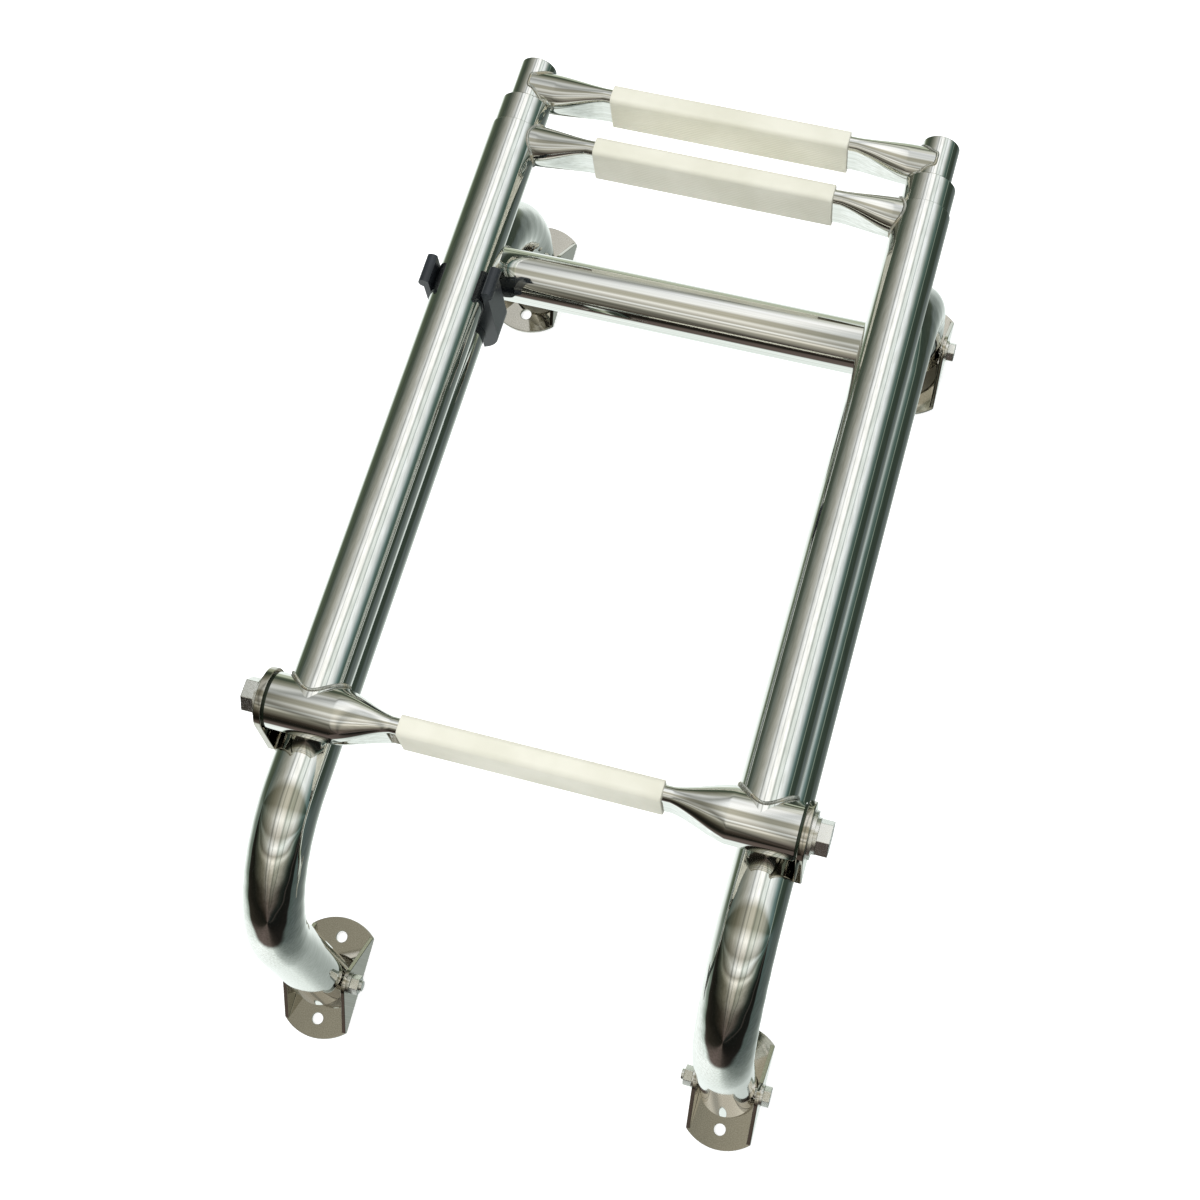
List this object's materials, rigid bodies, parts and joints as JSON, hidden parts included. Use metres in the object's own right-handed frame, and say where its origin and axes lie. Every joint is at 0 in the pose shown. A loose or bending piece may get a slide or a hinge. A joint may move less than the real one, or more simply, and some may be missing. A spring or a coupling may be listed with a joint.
{
  "type": "boat boarding ladder",
  "caption": "Folding, telescoping boarding ladder with moulded treads on flattened-tube rungs, hinged to a bent-tube stand-off frame that stands on swivelling channel feet.",
  "frame": {"origin": "middle of the whole ladder's footprint, on the plane of the four feet, in the folded and retracted pose", "axes": "+X across the ladder, +Y from the hinge rung to the free end, +Z away from the mounting surface"},
  "size_m": [0.3906, 0.718, 0.2787],
  "materials": {
    "polished_stainless": "mirror polished, with fine lengthwise polishing streaks",
    "tread_polymer": "satin, with fine lengthwise ribs",
    "black_acetal": "satin black",
    "natural_nylon": "natural, satin",
    "dark_nylon": "satin, very dark green"
  },
  "bodies": {
    "base_frame": {"base_cross_tube": "polished_stainless", "tube_clip": "black_acetal", "base_tube_left": "polished_stainless", "hinge_ear_left": "polished_stainless", "hinge_bush_left": "dark_nylon", "leg_plug_lower_left": "natural_nylon", "leg_plug_upper_left": "natural_nylon", "base_tube_right": "polished_stainless", "hinge_ear_right": "polished_stainless", "hinge_bush_right": "dark_nylon", "leg_plug_lower_right": "natural_nylon", "leg_plug_upper_right": "natural_nylon"},
    "ladder_outer": {"hinge_rung": "polished_stainless", "rung_2": "polished_stainless", "tread_1": "tread_polymer", "tread_2": "tread_polymer", "outer_tube_left": "polished_stainless", "guide_collar_left": "polished_stainless", "guide_bush_left": "natural_nylon", "hinge_plug_left": "polished_stainless", "hinge_bolt_left": "polished_stainless", "hinge_washers_left": "polished_stainless", "outer_tube_right": "polished_stainless", "guide_collar_right": "polished_stainless", "guide_bush_right": "natural_nylon", "hinge_plug_right": "polished_stainless", "hinge_bolt_right": "polished_stainless", "hinge_washers_right": "polished_stainless"},
    "ladder_inner": {"rung_3": "polished_stainless", "tread_3": "tread_polymer", "inner_tube_left": "polished_stainless", "end_cap_left": "polished_stainless", "slide_piston_left": "natural_nylon", "inner_tube_right": "polished_stainless", "end_cap_right": "polished_stainless", "slide_piston_right": "natural_nylon"},
    "foot_lower_left": {"bracket_lower_left": "polished_stainless", "pivot_bolt_lower_left": "polished_stainless", "pivot_washers_lower_left": "polished_stainless", "pivot_nut_lower_left": "polished_stainless"},
    "foot_lower_right": {"bracket_lower_right": "polished_stainless", "pivot_bolt_lower_right": "polished_stainless", "pivot_washers_lower_right": "polished_stainless", "pivot_nut_lower_right": "polished_stainless"},
    "foot_upper_left": {"bracket_upper_left": "polished_stainless", "pivot_bolt_upper_left": "polished_stainless", "pivot_washers_upper_left": "polished_stainless", "pivot_nut_upper_left": "polished_stainless"},
    "foot_upper_right": {"bracket_upper_right": "polished_stainless", "pivot_bolt_upper_right": "polished_stainless", "pivot_washers_upper_right": "polished_stainless", "pivot_nut_upper_right": "polished_stainless"}
  },
  "joints": [
    {"name": "ladder_fold", "type": "hinge", "parent": "base_frame", "child": "ladder_outer", "pos_m": [0, -0.15173, 0.25774], "axis": [1, 0, 0], "range_deg": [0, 180]},
    {"name": "ladder_extend", "type": "slide", "parent": "ladder_outer", "child": "ladder_inner", "axis": [0, 0.9903, -0.1392], "range_m": [0, 0.3515]},
    {"name": "foot_lower_left_swivel", "type": "hinge", "parent": "base_frame", "child": "foot_lower_left", "pos_m": [-0.1565, -0.313, 0.0335], "axis": [1, 0, 0], "range_deg": [-20, 20]},
    {"name": "foot_lower_right_swivel", "type": "hinge", "parent": "base_frame", "child": "foot_lower_right", "pos_m": [0.1565, -0.313, 0.0335], "axis": [1, 0, 0], "range_deg": [-20, 20]},
    {"name": "foot_upper_left_swivel", "type": "hinge", "parent": "base_frame", "child": "foot_upper_left", "pos_m": [-0.1565, 0.26765, 0.0335], "axis": [1, 0, 0], "range_deg": [-20, 20]},
    {"name": "foot_upper_right_swivel", "type": "hinge", "parent": "base_frame", "child": "foot_upper_right", "pos_m": [0.1565, 0.26765, 0.0335], "axis": [1, 0, 0], "range_deg": [-20, 20]}
  ]
}
